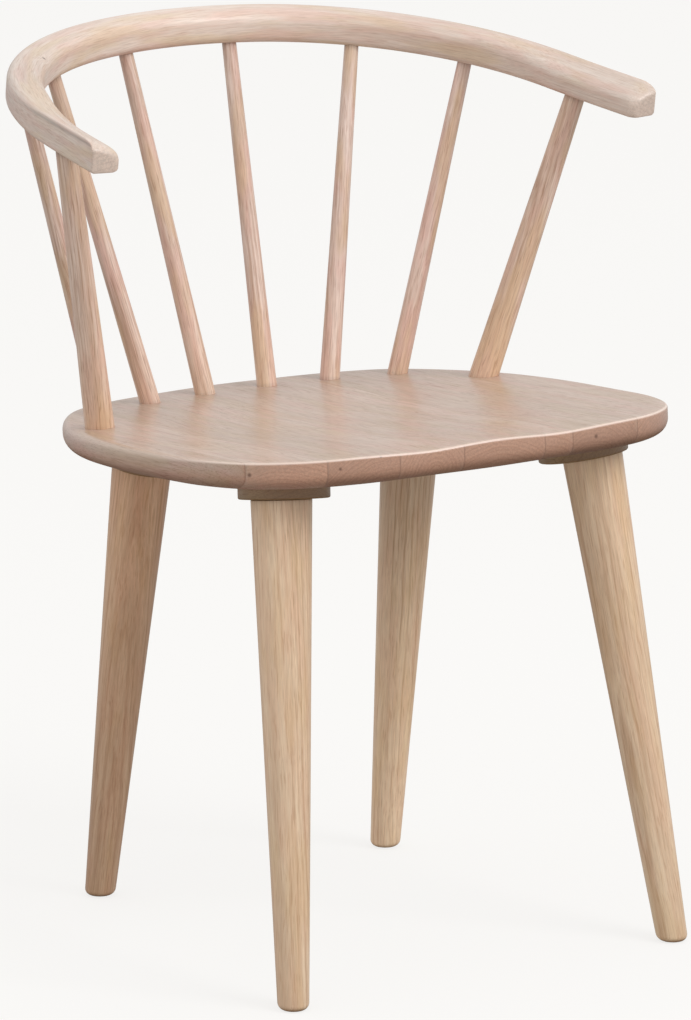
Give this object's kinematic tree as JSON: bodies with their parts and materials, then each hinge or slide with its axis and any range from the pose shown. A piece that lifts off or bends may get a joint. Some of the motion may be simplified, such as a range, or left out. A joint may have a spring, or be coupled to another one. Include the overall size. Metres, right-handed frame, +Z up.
{
  "type": "wooden armchair",
  "caption": "Low-backed wooden armchair with a dished solid seat on splayed round legs, slim back spindles and a bent bow that forms both arms and the back rail.",
  "frame": {"origin": "centre of the bounding box's bottom face, on the floor", "axes": "+Z up, along the tallest extent; the sitter faces -Y; +X to the right as seen from the front, across the mirror plane"},
  "size_m": [0.5696, 0.5353, 0.7604],
  "materials": {
    "seat_wood": "limed wood under satin lacquer, pinkish tan with fine grain from front to back",
    "bow_wood": "limed pale wood, satin",
    "spindle_wood": "limed wood, satin, pinkish",
    "leg_wood": "limed tan wood, satin, grain along the leg",
    "block_wood": "wood, satin",
    "steel": "zinc-plated steel"
  },
  "bodies": {
    "root": {"seat_board_1": "seat_wood", "seat_board_2": "seat_wood", "seat_board_3": "seat_wood", "seat_board_4": "seat_wood", "seat_board_5": "seat_wood", "seat_board_6": "seat_wood", "seat_board_7": "seat_wood", "seat_board_8": "seat_wood", "arm_bow": "bow_wood", "arm_post_left": "spindle_wood", "arm_post_right": "spindle_wood", "back_spindle_1": "spindle_wood", "back_spindle_2": "spindle_wood", "back_spindle_3": "spindle_wood", "back_spindle_4": "spindle_wood", "back_spindle_5": "spindle_wood", "back_spindle_6": "spindle_wood", "leg_block_front_left": "block_wood", "leg_front_left": "leg_wood", "hanger_bolt_front_left": "steel", "threaded_insert_front_left": "steel", "block_screw_front_left_1": "steel", "block_screw_front_left_2": "steel", "leg_block_front_right": "block_wood", "leg_front_right": "leg_wood", "hanger_bolt_front_right": "steel", "threaded_insert_front_right": "steel", "block_screw_front_right_1": "steel", "block_screw_front_right_2": "steel", "leg_block_back_left": "block_wood", "leg_back_left": "leg_wood", "hanger_bolt_back_left": "steel", "threaded_insert_back_left": "steel", "block_screw_back_left_1": "steel", "block_screw_back_left_2": "steel", "leg_block_back_right": "block_wood", "leg_back_right": "leg_wood", "hanger_bolt_back_right": "steel", "threaded_insert_back_right": "steel", "block_screw_back_right_1": "steel", "block_screw_back_right_2": "steel"}
  },
  "joints": []
}
